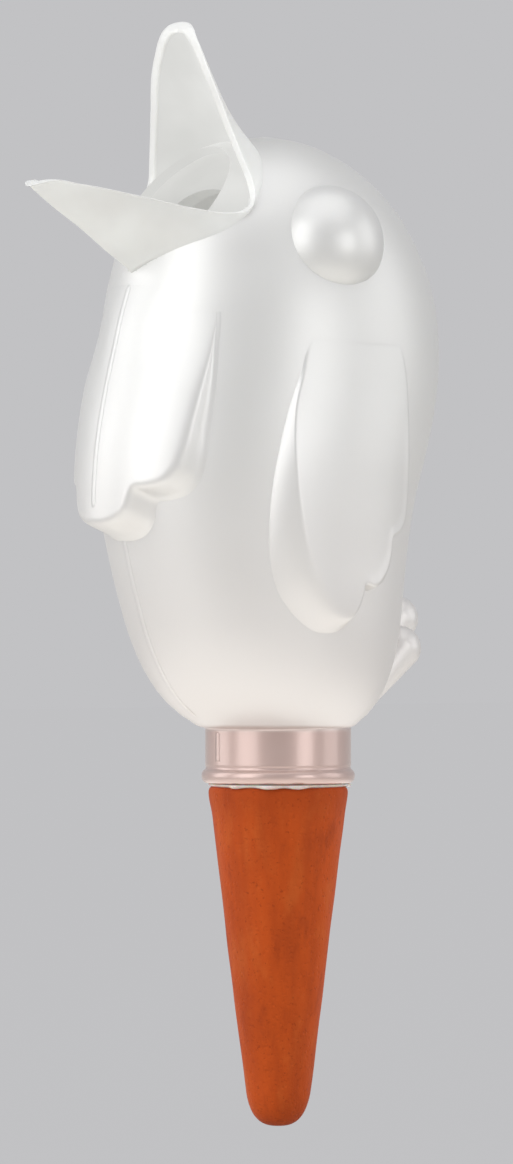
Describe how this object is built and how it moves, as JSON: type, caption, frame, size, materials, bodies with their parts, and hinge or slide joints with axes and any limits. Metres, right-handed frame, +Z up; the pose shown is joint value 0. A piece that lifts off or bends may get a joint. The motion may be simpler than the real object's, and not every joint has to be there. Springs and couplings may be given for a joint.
{
  "type": "self watering spike",
  "caption": "Bird-shaped water reservoir with an open beak for filling, on a porous clay spike that is pushed into the soil of a plant pot and waters it slowly.",
  "frame": {"origin": "on the spike's axis at the underside of the collar's rim, where the soil stops", "axes": "+Z up along the spike's axis, -Y the way the bird faces, +X the bird's left side"},
  "size_m": [0.0776, 0.1116, 0.2646],
  "materials": {
    "pearl_plastic": "pearlescent translucent white, satin",
    "terracotta": "unglazed porous terracotta, matte",
    "sealant": "milky translucent sealant, glossy"
  },
  "bodies": {
    "root": {"left_shell": "pearl_plastic", "right_shell": "pearl_plastic", "clay_spike": "terracotta", "sealant_ring": "sealant"}
  },
  "joints": []
}
